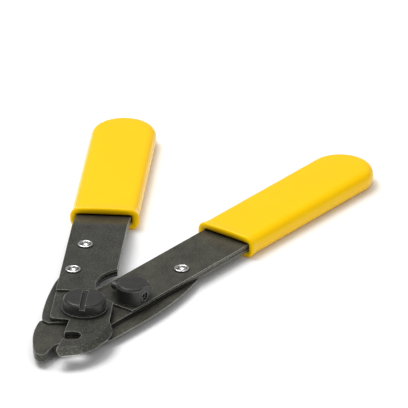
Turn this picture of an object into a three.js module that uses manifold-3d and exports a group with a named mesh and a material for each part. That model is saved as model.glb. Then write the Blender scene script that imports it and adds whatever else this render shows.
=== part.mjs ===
// Adjustable wire stripper: two crossed laminated steel arms on one pivot screw, dipped grips,
// and a round stop block whose adjusting screw meets an arc notch in the other arm.
// Millimetres, +Z up. The origin is on the pivot axis, in the plane the tool lies on.
import * as THREE from 'three';
import { mergeVertices } from 'three/addons/utils/BufferGeometryUtils.js';
import Module from 'manifold-3d';

const wasm = await Module();
wasm.setup();

// ---- driving dimensions ----
const OPEN_HALF_ANGLE = THREE.MathUtils.degToRad(16.5); // each arm from the centre line, at rest
const MEETING_PLANE = 3.96; // height of the plane between the upper and the lower arm
const BAR_OUTER = -8.37; // outer and inner edge of an arm's straight bar, from the pivot line
const BAR_INNER = 6.2;
const BAR_END = 113;
const ARM_CLEARANCE = 0.04; // each arm from the meeting plane
const THIN_PLY = 0.46; // cover plate and backing plate
const BLADE_PLY = 1.0;
const PLY_GAP = 0.06;
const JOGGLE = 2.12; // the upper bar steps down at the grip, so that both grips lie level
const JOGGLE_START = 46;
const JOGGLE_END = 59;
const JOGGLE_STEPS = 8;
const COVER_FRONT = 9.2; // the cover plate stops short of the pivot
const JAW_START = -7.5; // ahead of this line a blade fills its arm's whole thickness
const JAW_GAP = 0.3; // between the lower blade's jaw and the backing plate's lobe beside it
const BEAK_SLOPE = THREE.MathUtils.degToRad(33);

const GRIP_MOUTH = 57.9;
const GRIP_END = 117;
const GRIP_HALF_WIDTH = 8.9;
const GRIP_SHIFT = 0.2; // the dip is a little thicker on the inner edge
const GRIP_THICKNESS = 5.8;
const GRIP_EDGE = 2.3;
const GRIP_WALL_GAP = 0.3;

const SCREW_HEAD_RADIUS = 5.45;
const SCREW_HEAD_HEIGHT = 2.9;
const SCREW_SHANK_RADIUS = 3;
const SCREW_SLOT_WIDTH = 1.35;
const SCREW_SLOT_DEPTH = 1.3;
const PIVOT_CLEARANCE = 0.1;
const WASHER_RADIUS = 5.95;
const WASHER_THICKNESS = 0.5;
const SPACER_RADIUS = 5.2;
const NUT_RADIUS = 5.2;

const NOTCH_CENTRE = [11.5, 13.7]; // arc notch in the upper arm's inner edge
const NOTCH_RADIUS = 10.1;

const BLOCK_CENTRE = [-4.1, 14.8]; // stop block on the lower arm
const BLOCK_RADIUS = 4.45;
const BLOCK_HEIGHT = 4.4;
const BLOCK_CHAMFER = 0.65;
const BLOCK_FLAT = 3.9; // the outer side is cut flat this far from the centre, where the screw goes in
const STUD_RISE = 0.3; // the stud's end inside the block
const STOP_SCREW_RADIUS = 1.05;
const STOP_SCREW_HEIGHT = 1.75; // its axis above the lower arm
const STOP_SCREW_TIP = 2.75; // how far its tip reaches past the pivot line
const STOP_SCREW_SOCKET = 0.55;

const RIVET_FLANGE_RADIUS = 2.0;
const RIVET_FLANGE = 0.4;
const RIVET_SHANK_RADIUS = 1.3;
const RIVET_BORE_RADIUS = 0.95;
const RIVET_BORE_DEPTH = 1.4;
const RIVET_CLEARANCE = 0.1;
const HEAD_LIFT = 0.02; // under a rivet's flange
const FRONT_RIVET = [-5.2, 20.8];
const MIDDLE_RIVET = [-3.6, 35.6];
const TAIL_RIVET = [(BAR_OUTER + BAR_INNER) / 2, 104];

const ROUND = 40; // segments of a round piece
const SMALL_ROUND = 24;
const LARGE_ROUND = 56;
const BEYOND = 60; // a cutting tool's size, past the edges of what it cuts

// ---- materials ----
const steel = () => new THREE.MeshStandardMaterial({ color: 0x3b3b37, roughness: 0.5, metalness: 0.8 });
const blackSteel = () => new THREE.MeshStandardMaterial({ color: 0x242424, roughness: 0.4, metalness: 0.7 });
const nickel = () => new THREE.MeshStandardMaterial({ color: 0xc8c8c4, roughness: 0.2, metalness: 1 });
const vinyl = () => new THREE.MeshStandardMaterial({ color: 0xffd500, roughness: 0.3, metalness: 0 });

// ---- solids ----
function toSolid(geometry) {
  const bare = geometry.clone();
  bare.deleteAttribute('normal');
  bare.deleteAttribute('uv');
  const merged = mergeVertices(bare, 1e-4);
  const mesh = new wasm.Mesh({
    numProp: 3,
    vertProperties: new Float32Array(merged.attributes.position.array),
    triVerts: new Uint32Array(merged.index.array),
  });
  mesh.merge();
  return new wasm.Manifold(mesh);
}

function toGeometry(solid) {
  const mesh = solid.getMesh();
  const geometry = new THREE.BufferGeometry();
  geometry.setAttribute('position', new THREE.BufferAttribute(new Float32Array(mesh.vertProperties), 3));
  geometry.setIndex(new THREE.BufferAttribute(new Uint32Array(mesh.triVerts), 1));
  geometry.computeVertexNormals();
  return geometry;
}

function cut(solid, ...tools) {
  return tools.reduce((rest, tool) => rest.subtract(tool), solid);
}

function prism(shape, bottom, top, curveSegments = 16) {
  const depth = top - bottom;
  const geometry = new THREE.ExtrudeGeometry(shape, { depth, bevelEnabled: false, curveSegments });
  geometry.translate(0, 0, bottom);
  return toSolid(geometry);
}

function rod(radius, bottom, top, [x, y] = [0, 0], segments = ROUND) {
  const geometry = new THREE.CylinderGeometry(radius, radius, top - bottom, segments);
  geometry.rotateX(Math.PI / 2);
  geometry.translate(x, y, (top + bottom) / 2);
  return toSolid(geometry);
}

function turned(profile, segments = ROUND) {
  const geometry = new THREE.LatheGeometry(profile.map(([r, z]) => new THREE.Vector2(r, z)), segments);
  geometry.rotateX(Math.PI / 2);
  return toSolid(geometry);
}

function block(width, length, height, [x, y, z]) {
  const geometry = new THREE.BoxGeometry(width, length, height);
  geometry.translate(x, y, z);
  return toSolid(geometry);
}

function outline(points) {
  return new THREE.Shape(points.map(([x, y]) => new THREE.Vector2(x, y)));
}

// ---- side profiles: a ply's thickness along the arm, with the upper arm's joggle ----
// sign is +1 on the upper arm and -1 on the lower one, and near and far are distances from the
// meeting plane. In the jaw the blade fills the thickness from jawNear to jawFar.
function joggled(sign, height) {
  const points = [];
  for (let i = 0; i <= JOGGLE_STEPS; i += 1) {
    const share = i / JOGGLE_STEPS;
    const drop = sign > 0 ? JOGGLE * (1 - Math.cos(Math.PI * share)) / 2 : 0;
    points.push([JOGGLE_START + (JOGGLE_END - JOGGLE_START) * share, height - drop]);
  }
  points.push([BAR_END, height - (sign > 0 ? JOGGLE : 0)]);
  return points;
}

function plySheet(sign, near, far, front, jaw) {
  const level = (distance) => MEETING_PLANE + sign * distance;
  const nose = jaw
    ? [[JAW_START, level(near)], [JAW_START, level(jaw[0])], [front, level(jaw[0])],
      [front, level(jaw[1])], [JAW_START, level(jaw[1])], [JAW_START, level(far)]]
    : [[front, level(near)], [front, level(far)]];
  const points = [...joggled(sign, level(near)).reverse(), ...nose, ...joggled(sign, level(far))];
  const geometry = new THREE.ExtrudeGeometry(outline(points), { depth: BEYOND, bevelEnabled: false });
  // the profile's (along, height) plane becomes the (Y, Z) plane
  geometry.applyMatrix4(new THREE.Matrix4().makeBasis(
    new THREE.Vector3(0, 1, 0), new THREE.Vector3(0, 0, 1), new THREE.Vector3(1, 0, 0)));
  geometry.translate(-BEYOND / 2, 0, 0);
  return toSolid(geometry);
}

function ply(shape, sign, near, far, front, jaw) {
  const plan = prism(shape, -BEYOND, BEYOND);
  return plan.intersect(plySheet(sign, near, far, front, jaw));
}

// ---- plan outlines, with the outer edge on -X and the jaw ahead of the pivot ----
const LAYERS = {
  back: [ARM_CLEARANCE, ARM_CLEARANCE + THIN_PLY],
  blade: [ARM_CLEARANCE + THIN_PLY + PLY_GAP, ARM_CLEARANCE + THIN_PLY + PLY_GAP + BLADE_PLY],
};
LAYERS.cover = [LAYERS.blade[1] + PLY_GAP, LAYERS.blade[1] + PLY_GAP + THIN_PLY];
// On the lower arm the cover plate is the one next to the meeting plane, so that it shows on top.
const ARM_TOP = LAYERS.cover[1];

const BAR_MIDDLE = (BAR_OUTER + BAR_INNER) / 2;
const BAR_HALF_WIDTH = (BAR_INNER - BAR_OUTER) / 2;
const BAR_END_CENTRE = BAR_END - BAR_HALF_WIDTH;

function barEnd(shape, margin = 0) {
  const radius = BAR_HALF_WIDTH + margin;
  shape.lineTo(BAR_MIDDLE + radius, BAR_END_CENTRE);
  shape.absarc(BAR_MIDDLE, BAR_END_CENTRE, radius, 0, Math.PI, false);
}

function coverOutline() {
  const shape = new THREE.Shape();
  shape.moveTo(BAR_OUTER, COVER_FRONT);
  shape.lineTo(BAR_INNER, COVER_FRONT);
  barEnd(shape);
  shape.closePath();
  return shape;
}

// The straight cutting edge, the half-round stripping notch and the beak of the upper jaw.
function upperJaw(shape) {
  shape.lineTo(BAR_OUTER, -4);
  shape.quadraticCurveTo(BAR_OUTER, -5.8, -6.8, -5.9);
  shape.lineTo(-3.2, -6.3);
  shape.lineTo(-3.7, -13.7);
  shape.absarc(-1.7, -15.2, 2.5, 2.498, -2.498, true);
  shape.lineTo(-4.7, -22.8);
  shape.quadraticCurveTo(-4.2, -24.4, -2, -24.2);
  shape.quadraticCurveTo(2.2, -22.9, 5.2, -18.6);
  shape.quadraticCurveTo(8.2, -14, 8.2, -9.4);
  shape.lineTo(7, -6);
  shape.lineTo(7, 4.2);
  shape.lineTo(4.8, 6.2);
  shape.lineTo(BAR_INNER, 12);
}

// The long nose of the lower jaw, with its open V notch.
function lowerJaw(shape) {
  shape.lineTo(BAR_OUTER, -4);
  shape.lineTo(-8, -10.6);
  shape.lineTo(-4.7, -17.8);
  shape.lineTo(-6, -22.8);
  shape.quadraticCurveTo(-6.2, -24.2, -5, -24.4);
  shape.quadraticCurveTo(-3.5, -24.5, -2.2, -23);
  shape.quadraticCurveTo(4.2, -17, 6.65, -10);
  shape.lineTo(5.9, -8);
  shape.lineTo(BAR_INNER, 4);
}

function bladeOutline(jaw) {
  const shape = new THREE.Shape();
  shape.moveTo(BAR_OUTER, BAR_END_CENTRE);
  jaw(shape);
  barEnd(shape);
  return shape;
}

// The backing plate stands proud of the bar as a lobe round the pivot.
function backOutline(lobe, front) {
  const shape = new THREE.Shape();
  shape.moveTo(BAR_OUTER, BAR_END_CENTRE);
  shape.lineTo(...lobe[0]);
  shape.splineThru(lobe.slice(1).map(([x, y]) => new THREE.Vector2(x, y)));
  front.forEach(([x, y]) => shape.lineTo(x, y));
  barEnd(shape);
  return shape;
}

// ---- holes ----
function rivetHole(spot, bottom = -BEYOND, top = BEYOND) {
  return rod(RIVET_SHANK_RADIUS + RIVET_CLEARANCE, bottom, top, spot, SMALL_ROUND);
}

function riveted(solid, spots) {
  return cut(solid, ...spots.map((spot) => rivetHole(spot)));
}

function pivotHole() {
  return rod(SCREW_SHANK_RADIUS + PIVOT_CLEARANCE, -BEYOND, BEYOND);
}

function arcNotch() {
  return rod(NOTCH_RADIUS, -BEYOND, BEYOND, NOTCH_CENTRE, LARGE_ROUND);
}

// Slopes on the beak's outer side, from the top face down to the outline: each a heading in degrees
// and a point where its upper edge starts.
function beakSlopes() {
  const slopes = [[-14, 6.9, -8], [-42, 5.4, -15.5], [-72, 0.4, -20.6]];
  return slopes.map(([heading, x, y]) => {
    const geometry = new THREE.BoxGeometry(BEYOND, BEYOND, BEYOND);
    geometry.translate(BEYOND / 2, 0, BEYOND / 2);
    geometry.rotateY(BEAK_SLOPE);
    geometry.rotateZ(THREE.MathUtils.degToRad(heading));
    geometry.translate(x, y, MEETING_PLANE + LAYERS.blade[1]);
    return toSolid(geometry);
  });
}

function jawOnly(tool) {
  const ahead = block(BEYOND, BEYOND, BEYOND, [0, JAW_START + 1 - BEYOND / 2, 0]);
  return tool.intersect(ahead);
}

// ---- the plates ----
const UPPER_RIVETS = [FRONT_RIVET, MIDDLE_RIVET, TAIL_RIVET];
const LOWER_RIVETS = [MIDDLE_RIVET, TAIL_RIVET];
const UPPER_LOBE = [[BAR_OUTER, 21], [-9.7, 14.4], [-10.6, 5], [-10.5, -4], [-8.6, -6.6]];
const LOWER_LOBE = [
  [BAR_OUTER, 37], [-9.8, 32], [-11.4, 24], [-12.4, 15], [-12.6, 4], [-12.2, -5], [-10.4, -9.6],
];
const UPPER_LOBE_FRONT = [[-3, -5.6], [4, -5.4], [7, -2], [7, 4.2], [BAR_INNER, 6]];
const LOWER_LOBE_FRONT = [[-7.2, -10.4], [-3, -7], [BAR_INNER, -7], [BAR_INNER, 4]];

function upperPlates() {
  const blade = ply(bladeOutline(upperJaw), 1, ...LAYERS.blade, -BEYOND, [ARM_CLEARANCE, LAYERS.blade[1]]);
  const back = ply(backOutline(UPPER_LOBE, UPPER_LOBE_FRONT), 1, ...LAYERS.back, -BEYOND);
  const cover = ply(coverOutline(), 1, ...LAYERS.cover, 0);
  const slopes = beakSlopes().map(jawOnly);
  return {
    upper_blade: cut(riveted(blade, UPPER_RIVETS), pivotHole(), arcNotch(), ...slopes),
    upper_backing_plate: cut(riveted(back, UPPER_RIVETS), pivotHole(), arcNotch()),
    upper_cover_plate: cut(riveted(cover, UPPER_RIVETS), arcNotch()),
  };
}

function lowerPlates() {
  const flip = ([near, far]) => [ARM_TOP + ARM_CLEARANCE - far, ARM_TOP + ARM_CLEARANCE - near];
  const blade = ply(bladeOutline(lowerJaw), -1, ...flip(LAYERS.blade), -BEYOND, [ARM_CLEARANCE, ARM_TOP]);
  const back = ply(backOutline(LOWER_LOBE, LOWER_LOBE_FRONT), -1, ...flip(LAYERS.back), -BEYOND);
  // clear of the blade's jaw, which fills this depth, while the lobe runs on beside it
  const jawSide = BAR_OUTER - JAW_GAP;
  const jawFront = JAW_START + JAW_GAP;
  const backOnly = cut(back, block(BEYOND, BEYOND, BEYOND, [jawSide + BEYOND / 2, jawFront - BEYOND / 2, 0]));
  const cover = ply(coverOutline(), -1, ...flip(LAYERS.cover), 0);
  const studHole = rivetHole(BLOCK_CENTRE);
  return {
    lower_blade: cut(riveted(blade, LOWER_RIVETS), pivotHole(), studHole),
    lower_backing_plate: cut(riveted(backOnly, LOWER_RIVETS), pivotHole(), studHole),
    lower_cover_plate: cut(riveted(cover, LOWER_RIVETS), studHole),
  };
}

// ---- rivets: a flanged head with a blind bore, and a shank flush with the far side ----
function rivet(headSeat, shankEnd) {
  const rim = RIVET_FLANGE_RADIUS;
  const top = headSeat + RIVET_FLANGE;
  return turned([
    [0, shankEnd],
    [RIVET_SHANK_RADIUS, shankEnd],
    [RIVET_SHANK_RADIUS, headSeat + HEAD_LIFT],
    [rim, headSeat + HEAD_LIFT],
    [rim, headSeat + RIVET_FLANGE * 0.5],
    [rim - 0.25, top - 0.06],
    [rim - 0.6, top],
    [RIVET_BORE_RADIUS + 0.25, top - 0.03],
    [RIVET_BORE_RADIUS, top - 0.3],
    [RIVET_BORE_RADIUS, top - RIVET_BORE_DEPTH],
    [0, top - RIVET_BORE_DEPTH],
  ], 28);
}

// ---- grips ----
function grip() {
  const shape = new THREE.Shape();
  const start = GRIP_MOUTH - 6;
  const shoulder = GRIP_END - GRIP_HALF_WIDTH;
  const middle = BAR_MIDDLE + GRIP_SHIFT;
  shape.moveTo(middle - GRIP_HALF_WIDTH, start);
  shape.lineTo(middle + GRIP_HALF_WIDTH, start);
  shape.lineTo(middle + GRIP_HALF_WIDTH, shoulder);
  shape.absarc(middle, shoulder, GRIP_HALF_WIDTH, 0, Math.PI, false);
  shape.closePath();
  const geometry = new THREE.ExtrudeGeometry(shape, {
    depth: GRIP_THICKNESS - 2 * GRIP_EDGE,
    bevelThickness: GRIP_EDGE,
    bevelSize: GRIP_EDGE,
    bevelOffset: -GRIP_EDGE,
    bevelSegments: 6,
    curveSegments: 20,
  });
  geometry.translate(0, 0, GRIP_EDGE);
  const height = ARM_TOP - ARM_CLEARANCE + 2 * GRIP_WALL_GAP;
  const slot = new THREE.Shape();
  slot.moveTo(BAR_OUTER - GRIP_WALL_GAP, 0);
  slot.lineTo(BAR_INNER + GRIP_WALL_GAP, 0);
  barEnd(slot, GRIP_WALL_GAP);
  const cavity = prism(slot, GRIP_THICKNESS / 2 - height / 2, GRIP_THICKNESS / 2 + height / 2);
  const mouth = block(BEYOND, BEYOND, BEYOND, [0, GRIP_MOUTH - BEYOND / 2, 0]);
  const rivetTop = GRIP_THICKNESS / 2 + height / 2 + RIVET_FLANGE;
  const rivetPocket = rod(RIVET_FLANGE_RADIUS + GRIP_WALL_GAP, GRIP_THICKNESS / 2, rivetTop, TAIL_RIVET);
  return cut(toSolid(geometry), mouth, cavity, rivetPocket);
}

// ---- pivot ----
function pivotScrew() {
  const seat = MEETING_PLANE + LAYERS.blade[1] + WASHER_THICKNESS + 2 * PLY_GAP;
  const top = seat + SCREW_HEAD_HEIGHT;
  const body = turned([
    [0, 0],
    [SCREW_SHANK_RADIUS, 0],
    [SCREW_SHANK_RADIUS, seat],
    [SCREW_HEAD_RADIUS, seat],
    [SCREW_HEAD_RADIUS, top - 0.55],
    [SCREW_HEAD_RADIUS - 0.45, top - 0.12],
    [SCREW_HEAD_RADIUS - 0.9, top],
    [0, top],
  ], LARGE_ROUND);
  return cut(body, block(SCREW_SLOT_WIDTH, BEYOND, 2 * SCREW_SLOT_DEPTH, [0, 0, top]));
}

function ring(inner, outer, bottom, top) {
  return cut(rod(outer, bottom, top, [0, 0], LARGE_ROUND), rod(inner, bottom - 1, top + 1));
}

function pivotWasher() {
  const bottom = MEETING_PLANE + LAYERS.blade[1] + PLY_GAP;
  return ring(SCREW_SHANK_RADIUS + PIVOT_CLEARANCE, WASHER_RADIUS, bottom, bottom + WASHER_THICKNESS);
}

function pivotSpacer() {
  const bottom = MEETING_PLANE - ARM_CLEARANCE - THIN_PLY;
  return ring(SCREW_SHANK_RADIUS + PIVOT_CLEARANCE, SPACER_RADIUS, bottom, MEETING_PLANE);
}

function pivotNut() {
  const top = MEETING_PLANE - ARM_TOP - PLY_GAP;
  return ring(SCREW_SHANK_RADIUS + PIVOT_CLEARANCE, NUT_RADIUS, 0, top);
}

// ---- adjustable stop ----
const STOP_AXIS_Z = MEETING_PLANE + STOP_SCREW_HEIGHT;

function alongX(solid) {
  return solid.rotate(0, 90, 0).translate(0, BLOCK_CENTRE[1], STOP_AXIS_Z);
}

function stopBlock() {
  const bottom = MEETING_PLANE + PLY_GAP;
  const top = bottom + BLOCK_HEIGHT;
  const body = turned([
    [0, bottom],
    [BLOCK_RADIUS, bottom],
    [BLOCK_RADIUS, top - BLOCK_CHAMFER],
    [BLOCK_RADIUS - BLOCK_CHAMFER, top],
    [0, top],
  ], LARGE_ROUND).translate(...BLOCK_CENTRE, 0);
  const screwHole = alongX(rod(STOP_SCREW_RADIUS + PIVOT_CLEARANCE, -BEYOND, BEYOND));
  const studHole = rivetHole(BLOCK_CENTRE, -BEYOND, bottom + STUD_RISE + RIVET_CLEARANCE);
  const flatSide = BLOCK_CENTRE[0] - BLOCK_FLAT;
  const outerSide = block(BEYOND, BEYOND, BEYOND, [flatSide - BEYOND / 2, BLOCK_CENTRE[1], top]);
  return cut(body, screwHole, studHole, outerSide);
}

function stopStud() {
  const top = MEETING_PLANE + PLY_GAP + STUD_RISE;
  return rod(RIVET_SHANK_RADIUS, MEETING_PLANE - ARM_TOP, top, BLOCK_CENTRE, SMALL_ROUND);
}

function stopScrew() {
  const outerFace = BLOCK_FLAT - BLOCK_CENTRE[0] - 0.4;
  const shank = rod(STOP_SCREW_RADIUS, -outerFace, STOP_SCREW_TIP - 0.5, [0, 0], 32);
  const nose = rod(STOP_SCREW_RADIUS - 0.35, 0, STOP_SCREW_TIP, [0, 0], 32);
  const socket = rod(STOP_SCREW_SOCKET, -outerFace - 1, -outerFace + 1.6, [0, 0], 6);
  return alongX(cut(shank.add(nose), socket));
}

// ---- assembly ----
function mesh(name, solid, material, parent) {
  const piece = new THREE.Mesh(toGeometry(solid), material);
  piece.name = name;
  parent.add(piece);
}

const group = new THREE.Group();
const upperArm = new THREE.Group();
const lowerArm = new THREE.Group();
upperArm.rotation.z = OPEN_HALF_ANGLE;
lowerArm.rotation.z = -OPEN_HALF_ANGLE;
group.add(upperArm, lowerArm);

const mirrored = (solid) => solid.mirror([1, 0, 0]);

for (const [name, solid] of Object.entries(upperPlates())) mesh(name, solid, steel(), upperArm);
for (const [name, solid] of Object.entries(lowerPlates())) mesh(name, mirrored(solid), steel(), lowerArm);

const rivetNames = ['front', 'middle', 'tail'];
const seatDrop = (spot) => (spot === TAIL_RIVET ? JOGGLE : 0);
UPPER_RIVETS.forEach((spot, i) => {
  const seat = MEETING_PLANE + ARM_TOP - seatDrop(spot);
  const end = MEETING_PLANE + ARM_CLEARANCE - seatDrop(spot);
  mesh(`upper_${rivetNames[i]}_rivet`, rivet(seat, end).translate(...spot, 0), nickel(), upperArm);
});
LOWER_RIVETS.forEach((spot, i) => {
  const seat = MEETING_PLANE - ARM_CLEARANCE;
  const end = MEETING_PLANE - ARM_TOP;
  const solid = mirrored(rivet(seat, end).translate(...spot, 0));
  mesh(`lower_${rivetNames[i + 1]}_rivet`, solid, nickel(), lowerArm);
});

mesh('upper_grip', grip(), vinyl(), upperArm);
mesh('lower_grip', mirrored(grip()), vinyl(), lowerArm);
mesh('pivot_screw', pivotScrew(), blackSteel(), upperArm);
mesh('pivot_washer', pivotWasher(), blackSteel(), upperArm);
mesh('pivot_spacer', pivotSpacer(), blackSteel(), upperArm);
mesh('pivot_nut', pivotNut(), blackSteel(), upperArm);
mesh('stop_block', mirrored(stopBlock()), blackSteel(), lowerArm);
mesh('stop_stud', mirrored(stopStud()), blackSteel(), lowerArm);
mesh('stop_screw', mirrored(stopScrew()), blackSteel(), lowerArm);

export default group;
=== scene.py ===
"""Wire stripper: the looks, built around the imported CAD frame. Metres, the CAD's own frame."""
import math

import bmesh
import bpy
from mathutils import Matrix, Vector


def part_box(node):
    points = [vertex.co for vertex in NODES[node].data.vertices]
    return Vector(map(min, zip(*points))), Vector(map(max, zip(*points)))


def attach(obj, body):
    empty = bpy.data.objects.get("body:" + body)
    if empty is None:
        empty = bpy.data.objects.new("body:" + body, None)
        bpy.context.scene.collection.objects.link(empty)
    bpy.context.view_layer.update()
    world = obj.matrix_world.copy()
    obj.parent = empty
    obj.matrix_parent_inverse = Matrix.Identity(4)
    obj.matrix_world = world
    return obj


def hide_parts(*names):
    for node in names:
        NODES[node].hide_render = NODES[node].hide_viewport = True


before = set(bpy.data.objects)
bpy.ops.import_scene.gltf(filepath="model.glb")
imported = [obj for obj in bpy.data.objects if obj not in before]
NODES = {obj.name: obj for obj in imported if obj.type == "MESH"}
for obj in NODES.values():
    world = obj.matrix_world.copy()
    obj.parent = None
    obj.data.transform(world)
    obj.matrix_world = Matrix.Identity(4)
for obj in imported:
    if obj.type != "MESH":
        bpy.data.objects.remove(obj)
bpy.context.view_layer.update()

MM = 0.001

# ---- driving dimensions, metres ----
OPEN_HALF_ANGLE = math.radians(16.5)
ARM_TURN = {"upper_arm": OPEN_HALF_ANGLE, "lower_arm": -OPEN_HALF_ANGLE}
BAR_OUTER = -8.37 * MM
BAR_INNER = 6.2 * MM
BAR_MIDDLE = (BAR_OUTER + BAR_INNER) / 2
BAR_HALF_WIDTH = (BAR_INNER - BAR_OUTER) / 2
BAR_HALF_THICKNESS = 1.02 * MM
GRIP_MOUTH = 57.9 * MM
GRIP_END = 117 * MM
GRIP_RADIUS = 8.9 * MM
GRIP_MIDDLE = BAR_MIDDLE + 0.2 * MM
GRIP_EDGE = 2.3 * MM
GRIP_WALL_GAP = 0.1 * MM     # between the lip's inner edge and the bar
LIP_SWELL = 0.32 * MM
LIP_REACH = 3.2 * MM
RIVET_RADIUS = 2.0 * MM
RIVET_SHANK_RADIUS = 1.28 * MM
RIVET_BORE_RADIUS = 0.98 * MM
RIVET_RIM = 0.24 * MM        # radius of the rolled edge
RIVET_FLANGE = 0.4 * MM
PLATE_EDGE = 0.07 * MM       # softening of the plates' edges
TURNED_EDGE = 0.08 * MM
TAIL_RIVET_EDGE = 0.04 * MM
WEAR_AND_HIGHLIGHT_WIDTH = 0.3 * MM        # band along an edge where the finish has worn and a highlight is painted
CORNER_SHADE_REACH = 4 * MM        # how far the painted shade reaches out of a corner
BORE_REACH = 0.8 * MM
STAGE_HALF = 3.0


# ---- small mesh helpers ----
def new_piece(name, vertices, faces, smooth_angle=None):
    mesh = bpy.data.meshes.new(name)
    mesh.from_pydata([tuple(v) for v in vertices], [], faces)
    work = bmesh.new()
    work.from_mesh(mesh)
    bmesh.ops.remove_doubles(work, verts=work.verts, dist=1e-7)
    bmesh.ops.recalc_face_normals(work, faces=work.faces)
    work.to_mesh(mesh)
    work.free()
    piece = bpy.data.objects.new(name, mesh)
    bpy.context.scene.collection.objects.link(piece)
    shade(piece, smooth_angle)
    return piece


def shade(piece, smooth_angle):
    """Smooth faces, with edges over the angle kept sharp."""
    mesh = piece.data
    mesh.polygons.foreach_set("use_smooth", [True] * len(mesh.polygons))
    if smooth_angle is None:
        return
    work = bmesh.new()
    work.from_mesh(mesh)
    for edge in work.edges:
        if len(edge.link_faces) == 2:
            edge.smooth = edge.calc_face_angle(0) < smooth_angle
    work.to_mesh(mesh)
    work.free()


def lathe(name, profile, segments):
    """A turned piece about its own Z axis, from (radius, height) points that start and end on the axis."""
    vertices, faces = [], []
    for radius, height in profile:
        for i in range(segments):
            turn = 2 * math.pi * i / segments
            vertices.append((radius * math.cos(turn), radius * math.sin(turn), height))
    for k in range(len(profile) - 1):
        for i in range(segments):
            j = (i + 1) % segments
            a, b = k * segments, (k + 1) * segments
            faces.append((a + i, a + j, b + j, b + i))
    return new_piece(name, vertices, faces, math.radians(40))


def arc(centre_r, centre_z, radius, start, end, steps):
    """Points of a round corner in a lathe profile, angles in degrees."""
    points = []
    for i in range(steps + 1):
        turn = math.radians(start + (end - start) * i / steps)
        points.append((centre_r + radius * math.cos(turn), centre_z + radius * math.sin(turn)))
    return points


# ---- material helpers ----
class Nodes:
    """A short way to write a node tree."""

    def __init__(self, name):
        self.material = bpy.data.materials.new(name)
        self.material.use_nodes = True
        self.tree = self.material.node_tree
        self.shader = self.tree.nodes["Principled BSDF"]
        self.place = self.add("ShaderNodeTexCoord").outputs["Object"]

    def add(self, kind, **inputs):
        node = self.tree.nodes.new(kind)
        for key, value in inputs.items():
            self.put(node.inputs[key.replace("_", " ")], value)
        return node

    def put(self, socket, value):
        if isinstance(value, bpy.types.NodeSocket):
            self.tree.links.new(value, socket)
        else:
            socket.default_value = value

    def noise(self, scale, detail=4.0, stretch=(1, 1, 1), turn=0.0):
        mapping = self.add("ShaderNodeMapping", Vector=self.place)
        mapping.inputs["Rotation"].default_value = (0, 0, turn)
        mapping.inputs["Scale"].default_value = stretch
        texture = self.add("ShaderNodeTexNoise", Vector=mapping.outputs[0], Scale=scale, Detail=detail)
        return texture.outputs["Fac"]

    def ramp(self, value, stops):
        node = self.add("ShaderNodeValToRGB", Fac=value)
        ramp = node.color_ramp
        while len(ramp.elements) < len(stops):
            ramp.elements.new(0.5)
        for element, (position, colour) in zip(ramp.elements, stops):
            element.position = position
            element.color = (*colour, 1) if len(colour) == 3 else (colour[0],) * 3 + (1,)
        return node.outputs["Color"]

    def mix(self, factor, a, b):
        node = self.tree.nodes.new("ShaderNodeMix")
        node.data_type = "RGBA"
        self.put(node.inputs[0], factor)
        self.put(node.inputs[6], a)
        self.put(node.inputs[7], b)
        return node.outputs[2]

    def scaled(self, value, low, high):
        node = self.add("ShaderNodeMapRange", Value=value)
        node.inputs["To Min"].default_value = low
        node.inputs["To Max"].default_value = high
        return node.outputs["Result"]

    def bump(self, height, strength, distance, normal=None):
        node = self.add("ShaderNodeBump", Height=height, Strength=strength, Distance=distance)
        if normal is not None:
            self.put(node.inputs["Normal"], normal)
        return node.outputs["Normal"]

    def edge_wear_and_highlight(self, radius, unworn, worn_and_highlighted):
        """1 along sharp edges and 0 on faces: how far a rounded normal leans from the true one."""
        bevel = self.add("ShaderNodeBevel", Radius=radius)
        bevel.samples = 6
        true_normal = self.add("ShaderNodeNewGeometry").outputs["Normal"]
        dot = self.tree.nodes.new("ShaderNodeVectorMath")
        dot.operation = "DOT_PRODUCT"
        self.put(dot.inputs[0], bevel.outputs["Normal"])
        self.put(dot.inputs[1], true_normal)
        node = self.add("ShaderNodeMapRange", Value=dot.outputs["Value"])
        node.inputs["From Min"].default_value = unworn
        node.inputs["From Max"].default_value = worn_and_highlighted
        return node.outputs["Result"]


def steel_material(name, turn, dark, light, rough):
    """Phosphated sheet steel: fine grain, rolling lines, painted shade in the corners, and paler edges,
    partly wear and partly painted highlight.
    """
    n = Nodes(name)
    grain = n.noise(2300, 5)
    clouds = n.noise(260, 5)
    lines = n.noise(2600, 4, (1, 0.04, 1), turn)
    cloud_tone = n.ramp(clouds, [(0.3, (0,)), (0.7, (1,))])
    line_tone = n.ramp(lines, [(0.3, (0,)), (0.7, (1,))])
    tone = n.mix(0.35, cloud_tone, line_tone)
    base = n.mix(tone, (*dark, 1), (*light, 1))
    speck = n.mix(n.ramp(grain, [(0.46, (0,)), (0.7, (0.45,))]), base, (0.2, 0.2, 0.18, 1))
    # painted shade: the colour goes near black where ambient occlusion finds corners, recesses and places
    # under other parts
    open_air = n.add("ShaderNodeAmbientOcclusion", Distance=CORNER_SHADE_REACH).outputs["AO"]
    painted_corner_shade = n.mix(n.ramp(open_air, [(0.4, (0,)), (0.92, (1,))]), (0.008, 0.008, 0.007, 1), speck)
    # paler edges: partly worn finish, partly a painted highlight along the edges
    wear_and_highlight = n.edge_wear_and_highlight(WEAR_AND_HIGHLIGHT_WIDTH, 0.985, 0.8)
    worn_and_highlighted = n.mix(n.scaled(wear_and_highlight, 0, 0.9), painted_corner_shade, (0.6, 0.6, 0.55, 1))
    n.put(n.shader.inputs["Base Color"], worn_and_highlighted)
    n.shader.inputs["Metallic"].default_value = 0.45
    n.shader.inputs["Specular IOR Level"].default_value = 0.35
    n.put(n.shader.inputs["Roughness"], n.scaled(clouds, rough - 0.05, rough + 0.09))
    coarse = n.bump(lines, 0.12, 0.00004)
    n.put(n.shader.inputs["Normal"], n.bump(grain, 0.35, 0.00003, coarse))
    return n.material


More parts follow.
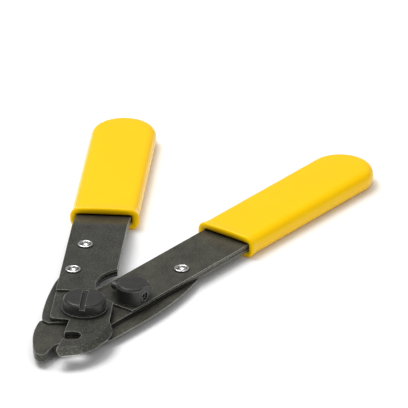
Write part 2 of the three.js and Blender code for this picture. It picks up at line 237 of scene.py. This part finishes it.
def black_material(name, tone, rough):
    """Black oxide on turned parts: near black, satin, with fine pits and paler edges, partly wear and partly
    painted highlight.
    """
    n = Nodes(name)
    grain = n.noise(7000, 3)
    clouds = n.noise(500, 4)
    darker = (tone * 0.75, tone * 0.75, tone * 0.73, 1)
    paler = (tone * 1.35, tone * 1.35, tone * 1.3, 1)
    base = n.mix(clouds, darker, paler)
    # paler edges: partly worn finish, partly a painted highlight along the edges
    wear_and_highlight = n.edge_wear_and_highlight(WEAR_AND_HIGHLIGHT_WIDTH, 0.985, 0.8)
    worn_and_highlighted = n.mix(n.scaled(wear_and_highlight, 0, 0.8), base, (0.5, 0.5, 0.48, 1))
    n.put(n.shader.inputs["Base Color"], worn_and_highlighted)
    n.shader.inputs["Metallic"].default_value = 0.5
    n.shader.inputs["Specular IOR Level"].default_value = 0.4
    n.put(n.shader.inputs["Roughness"], n.scaled(clouds, rough - 0.05, rough + 0.08))
    n.put(n.shader.inputs["Normal"], n.bump(grain, 0.3, 0.00003))
    return n.material


def nickel_material():
    """Bright nickel on the rivets, slightly brushed by the rolling tool, with painted shade making it dark
    down in the bore.
    """
    n = Nodes("nickel_plate")
    fine = n.noise(4000, 3)
    plate = n.mix(fine, (0.7, 0.7, 0.68, 1), (0.9, 0.9, 0.88, 1))
    # painted shade: the plate goes near black where ambient occlusion finds the bore's hollow
    open_air = n.add("ShaderNodeAmbientOcclusion", Distance=BORE_REACH).outputs["AO"]
    in_open = n.ramp(open_air, [(0.45, (0,)), (0.85, (1,))])
    n.put(n.shader.inputs["Base Color"], n.mix(in_open, (0.04, 0.04, 0.04, 1), plate))
    n.shader.inputs["Metallic"].default_value = 1.0
    n.put(n.shader.inputs["Roughness"], n.scaled(fine, 0.14, 0.3))
    n.put(n.shader.inputs["Normal"], n.bump(fine, 0.08, 0.00003))
    return n.material


def vinyl_material():
    """Dipped vinyl: a deep glossy yellow with a soft, slightly wavy skin."""
    n = Nodes("yellow_vinyl")
    waves = n.noise(90, 2)
    skin = n.noise(1600, 3)
    yellow = n.mix(waves, (1.0, 0.57, 0.0, 1), (1.0, 0.62, 0.0, 1))
    n.put(n.shader.inputs["Base Color"], yellow)
    n.put(n.shader.inputs["Roughness"], n.scaled(skin, 0.2, 0.3))
    n.shader.inputs["Specular IOR Level"].default_value = 0.4
    n.shader.inputs["Specular Tint"].default_value = (1.0, 0.8, 0.12, 1)
    n.shader.inputs["IOR"].default_value = 1.5
    gentle = n.bump(waves, 0.15, 0.0004)
    n.put(n.shader.inputs["Normal"], n.bump(skin, 0.08, 0.00003, gentle))
    return n.material


def paint(piece, material):
    piece.data.materials.clear()
    piece.data.materials.append(material)


# ---- the camera and the stage ----
CAMERA_AZIMUTH = math.radians(21.6)
CAMERA_ELEVATION = math.radians(26)
CAMERA_DISTANCE = 1.4872
CAMERA_LENS = 511.8
AIM_RIGHT = 30.64 * MM      # the picture's centre, from the pivot at the lower arm's top face
AIM_UP = 28.28 * MM


def make_camera():
    flat = Vector((-math.sin(CAMERA_AZIMUTH), math.cos(CAMERA_AZIMUTH), 0))
    up_axis = Vector((0, 0, 1))
    forward = flat * math.cos(CAMERA_ELEVATION) - up_axis * math.sin(CAMERA_ELEVATION)
    up = flat * math.sin(CAMERA_ELEVATION) + up_axis * math.cos(CAMERA_ELEVATION)
    right = Vector((math.cos(CAMERA_AZIMUTH), math.sin(CAMERA_AZIMUTH), 0))
    pivot = Vector((0, 0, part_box("lower_cover_plate")[1].z))
    camera = bpy.data.objects.new("camera", bpy.data.cameras.new("camera"))
    bpy.context.scene.collection.objects.link(camera)
    camera.data.lens = CAMERA_LENS
    camera.data.sensor_width = 36
    camera.data.clip_start = 0.05
    camera.data.clip_end = 20
    camera.rotation_mode = "QUATERNION"
    camera.location = pivot + right * AIM_RIGHT + up * AIM_UP - forward * CAMERA_DISTANCE
    camera.rotation_quaternion = forward.to_track_quat("-Z", "Y")
    bpy.context.scene.camera = camera
    return right, flat


def make_light(name, place, target, size, power, colour=(1, 1, 1)):
    data = bpy.data.lights.new(name, "AREA")
    data.shape = "RECTANGLE"
    data.size, data.size_y = size
    data.energy = power
    data.color = colour
    light = bpy.data.objects.new(name, data)
    light.location = place
    light.rotation_mode = "QUATERNION"
    light.rotation_quaternion = (Vector(target) - Vector(place)).to_track_quat("-Z", "Y")
    bpy.context.scene.collection.objects.link(light)


def make_stage(right, flat):
    world = bpy.data.worlds.new("studio")
    bpy.context.scene.world = world
    world.use_nodes = True
    world.node_tree.nodes["Background"].inputs["Color"].default_value = (1, 1, 1, 1)
    world.node_tree.nodes["Background"].inputs["Strength"].default_value = 0.32
    corners = [(-STAGE_HALF, -STAGE_HALF, 0), (STAGE_HALF, -STAGE_HALF, 0),
               (STAGE_HALF, STAGE_HALF, 0), (-STAGE_HALF, STAGE_HALF, 0)]
    floor = new_piece("floor", corners, [(0, 1, 2, 3)])
    paper = Nodes("white_paper")
    fibre = paper.noise(400, 3)
    white = paper.mix(fibre, (0.93, 0.93, 0.93, 1), (0.95, 0.95, 0.95, 1))
    paper.put(paper.shader.inputs["Base Color"], white)
    paper.shader.inputs["Roughness"].default_value = 0.9
    paper.shader.inputs["Specular IOR Level"].default_value = 0.1
    floor.data.materials.append(paper.material)
    middle = Vector((0, 0.05, 0))
    up = Vector((0, 0, 1))
    key_place = middle - right * 0.33 + flat * 0.22 + up * 0.88
    top_place = middle + flat * 0.15 + up * 0.9
    front_place = middle - flat * 0.6 + right * 0.3 + up * 0.5
    make_light("key", key_place, middle, (0.65, 0.65), 6.8)
    make_light("top", top_place, middle, (0.8, 0.6), 2.2)
    make_light("front", front_place, middle, (0.5, 0.3), 1.3)
    scene = bpy.context.scene
    scene.view_settings.view_transform = "Standard"
    scene.view_settings.look = "None"


# ---- CAD nodes that stay: softened edges, and their own finish ----
def soften(node, width, segments=2, angle=28):
    piece = NODES[node]
    weld = piece.modifiers.new("weld", "WELD")
    weld.merge_threshold = 1e-6
    flat = piece.modifiers.new("flat_faces", "DECIMATE")
    flat.decimate_type = "DISSOLVE"
    flat.angle_limit = math.radians(0.5)
    bevel = piece.modifiers.new("soft_edges", "BEVEL")
    bevel.width = width
    bevel.segments = segments
    bevel.limit_method = "ANGLE"
    bevel.angle_limit = math.radians(angle)
    even = piece.modifiers.new("even_faces", "WEIGHTED_NORMAL")
    even.weight = 50
    even.keep_sharp = False
    piece.data.polygons.foreach_set("use_smooth", [True] * len(piece.data.polygons))


# ---- rivets: a rolled flange round a dark bore ----
def tubular_rivet(node, body, material):
    low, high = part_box(node)
    seat = high.z - RIVET_FLANGE
    corner = RIVET_RADIUS - RIVET_RIM
    crest = corner - 0.1 * MM
    bore = RIVET_BORE_RADIUS
    profile = [(0, low.z), (RIVET_SHANK_RADIUS, low.z), (RIVET_SHANK_RADIUS, seat), (corner, seat)]
    profile += arc(corner, seat + RIVET_RIM, RIVET_RIM, -90, 90, 8)
    profile += arc(crest, seat + RIVET_RIM, RIVET_RIM, 90, 180, 6)
    # the groove inside the rim, then the rolled edge of the bore and its bottom
    profile += [(1.38 * MM, seat + 0.02 * MM), (1.2 * MM, seat - 0.18 * MM), (bore, seat - 0.16 * MM)]
    profile += [(bore * 0.8, seat + 0.06 * MM), (bore * 0.55, seat + 0.02 * MM)]
    profile += [(bore * 0.3, seat - 0.22 * MM), (0, seat - 0.25 * MM)]
    piece = lathe("tubular_" + node, profile, 48)
    piece.data.transform(Matrix.Translation(((low.x + high.x) / 2, (low.y + high.y) / 2, 0)))
    paint(piece, material)
    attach(piece, body)
    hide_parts(node)


# ---- grips ----
def grip_row(inset, straight_steps=26, arc_steps=26):
    """One line of the skin in plan, inset from the outline, from the mouth round the end and back."""
    radius = max(GRIP_RADIUS - inset, 0)
    shoulder = GRIP_END - GRIP_RADIUS
    row = []
    for i in range(straight_steps):
        share = (i / straight_steps) ** 1.6
        row.append((GRIP_MIDDLE - radius, GRIP_MOUTH + (shoulder - GRIP_MOUTH) * share))
    for i in range(arc_steps + 1):
        turn = math.pi - math.pi * i / arc_steps
        row.append((GRIP_MIDDLE + radius * math.cos(turn), shoulder + radius * math.sin(turn)))
    for i in reversed(range(straight_steps)):
        share = (i / straight_steps) ** 1.6
        row.append((GRIP_MIDDLE + radius, GRIP_MOUTH + (shoulder - GRIP_MOUTH) * share))
    return row


def grip_profile(half_thickness, edge_steps=7, face_steps=6, crown=0.12 * MM):
    """(inset, height) from the edge's middle line to the middle of the face."""
    points = []
    for i in range(edge_steps + 1):
        turn = math.pi / 2 * i / edge_steps
        height = half_thickness - crown - GRIP_EDGE + GRIP_EDGE * math.sin(turn)
        points.append((GRIP_EDGE * (1 - math.cos(turn)), height))
    for i in range(1, face_steps + 1):
        share = i / face_steps
        inset = GRIP_EDGE + (GRIP_RADIUS - GRIP_EDGE) * share
        points.append((inset, half_thickness - crown + crown * math.sin(math.pi / 2 * share)))
    return points


def flared(point, middle_z):
    """The skin swells a little into a rolled bead at the mouth, flat where it rests on the table."""
    x, y, z = point
    share = max(0.0, 1 - (y - GRIP_MOUTH) / LIP_REACH)
    swell = LIP_SWELL * share * share
    across = Vector(((x - GRIP_MIDDLE) / GRIP_RADIUS, (z - middle_z) / (GRIP_EDGE * 1.3)))
    if across.length > 1e-6:
        across.normalize()
    return (x + across.x * swell, y, max(z + across.y * swell, 0))


def mouth_ring(ring, middle_z, share, reach):
    """A copy of the mouth's outer ring, drawn in towards the bar by share and moved along by reach."""
    inner_half = Vector((BAR_HALF_WIDTH + GRIP_WALL_GAP, BAR_HALF_THICKNESS + GRIP_WALL_GAP))
    points = []
    for x, y, z in ring:
        side = Vector(((x - GRIP_MIDDLE) / (GRIP_RADIUS + 0.3 * MM), (z - middle_z) / (2.9 * MM)))
        longest = max(abs(side.x), abs(side.y), 1e-9)
        inner_x = BAR_MIDDLE + side.x / longest * inner_half.x
        inner_z = middle_z + side.y / longest * inner_half.y
        points.append((x + (inner_x - x) * share, y + reach, z + (inner_z - z) * share))
    return points


def dipped_grip(node, body, material):
    low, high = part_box(node)
    middle_z = (low.z + high.z) / 2
    half = (high.z - low.z) / 2
    profile = grip_profile(half)
    levels = [(inset, middle_z - height) for inset, height in reversed(profile)]
    levels += [(inset, middle_z + height) for inset, height in profile]
    rows = []
    for inset, z in levels:
        rows.append([flared((x, y, z), middle_z) for x, y in grip_row(inset)])
    count = len(rows[0])
    vertices = [point for row in rows for point in row]
    faces = []
    for k in range(len(rows) - 1):
        for i in range(count - 1):
            a, b = k * count + i, (k + 1) * count + i
            faces.append((a, a + 1, b + 1, b))
    # The first and last rows are inset to a line, so they close the underside and the top.
    # At the mouth the rows' ends make one ring, from which the rolled lip turns in to the bar.
    left = [row[0] for row in rows]
    right = [row[-1] for row in reversed(rows)]
    ring = left + right
    lips = [
        (0.0, 0.0), (0.1, -0.3 * MM), (0.3, -0.48 * MM), (0.6, -0.45 * MM),
        (0.85, -0.2 * MM), (1.0, 0.25 * MM), (1.0, 7 * MM),
    ]
    start = len(vertices)
    for share, reach in lips:
        vertices += mouth_ring(ring, middle_z, share, reach)
    size = len(ring)
    for k in range(len(lips) - 1):
        for i in range(size):
            j = (i + 1) % size
            a, b = start + k * size, start + (k + 1) * size
            faces.append((a + i, a + j, b + j, b + i))
    last = start + (len(lips) - 1) * size
    faces.append(tuple(last + i for i in range(size)))
    piece = new_piece("dipped_" + node, vertices, faces)
    if body == "lower_arm":
        piece.data.transform(Matrix.Scale(-1, 4, (1, 0, 0)))
        piece.data.flip_normals()
    piece.data.transform(Matrix.Rotation(ARM_TURN[body], 4, "Z"))
    paint(piece, material)
    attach(piece, body)
    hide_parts(node)


# ---- make it ----
right, flat = make_camera()
make_stage(right, flat)

STEEL_ROUGHNESS = 0.36
upper_steel = steel_material(
    "upper_steel", -ARM_TURN["upper_arm"], (0.024, 0.024, 0.019), (0.064, 0.063, 0.05), STEEL_ROUGHNESS)
lower_steel = steel_material(
    "lower_steel", -ARM_TURN["lower_arm"], (0.028, 0.028, 0.02), (0.088, 0.086, 0.064), STEEL_ROUGHNESS)
black = black_material("black_oxide", 0.045, 0.3)
nickel = nickel_material()
vinyl = vinyl_material()

for part in ("blade", "backing_plate", "cover_plate"):
    for side, steel in (("upper_", upper_steel), ("lower_", lower_steel)):
        soften(side + part, PLATE_EDGE)
        paint(NODES[side + part], steel)

TURNED = ("pivot_screw", "pivot_washer", "pivot_spacer", "pivot_nut", "stop_block", "stop_stud", "stop_screw")
for node in TURNED:
    soften(node, TURNED_EDGE)
    paint(NODES[node], black)

tubular_rivet("upper_front_rivet", "upper_arm", nickel)
tubular_rivet("upper_middle_rivet", "upper_arm", nickel)
tubular_rivet("lower_middle_rivet", "lower_arm", nickel)
for node in ("upper_tail_rivet", "lower_tail_rivet"):
    soften(node, TAIL_RIVET_EDGE)
    paint(NODES[node], nickel)

dipped_grip("upper_grip", "upper_arm", vinyl)
dipped_grip("lower_grip", "lower_arm", vinyl)
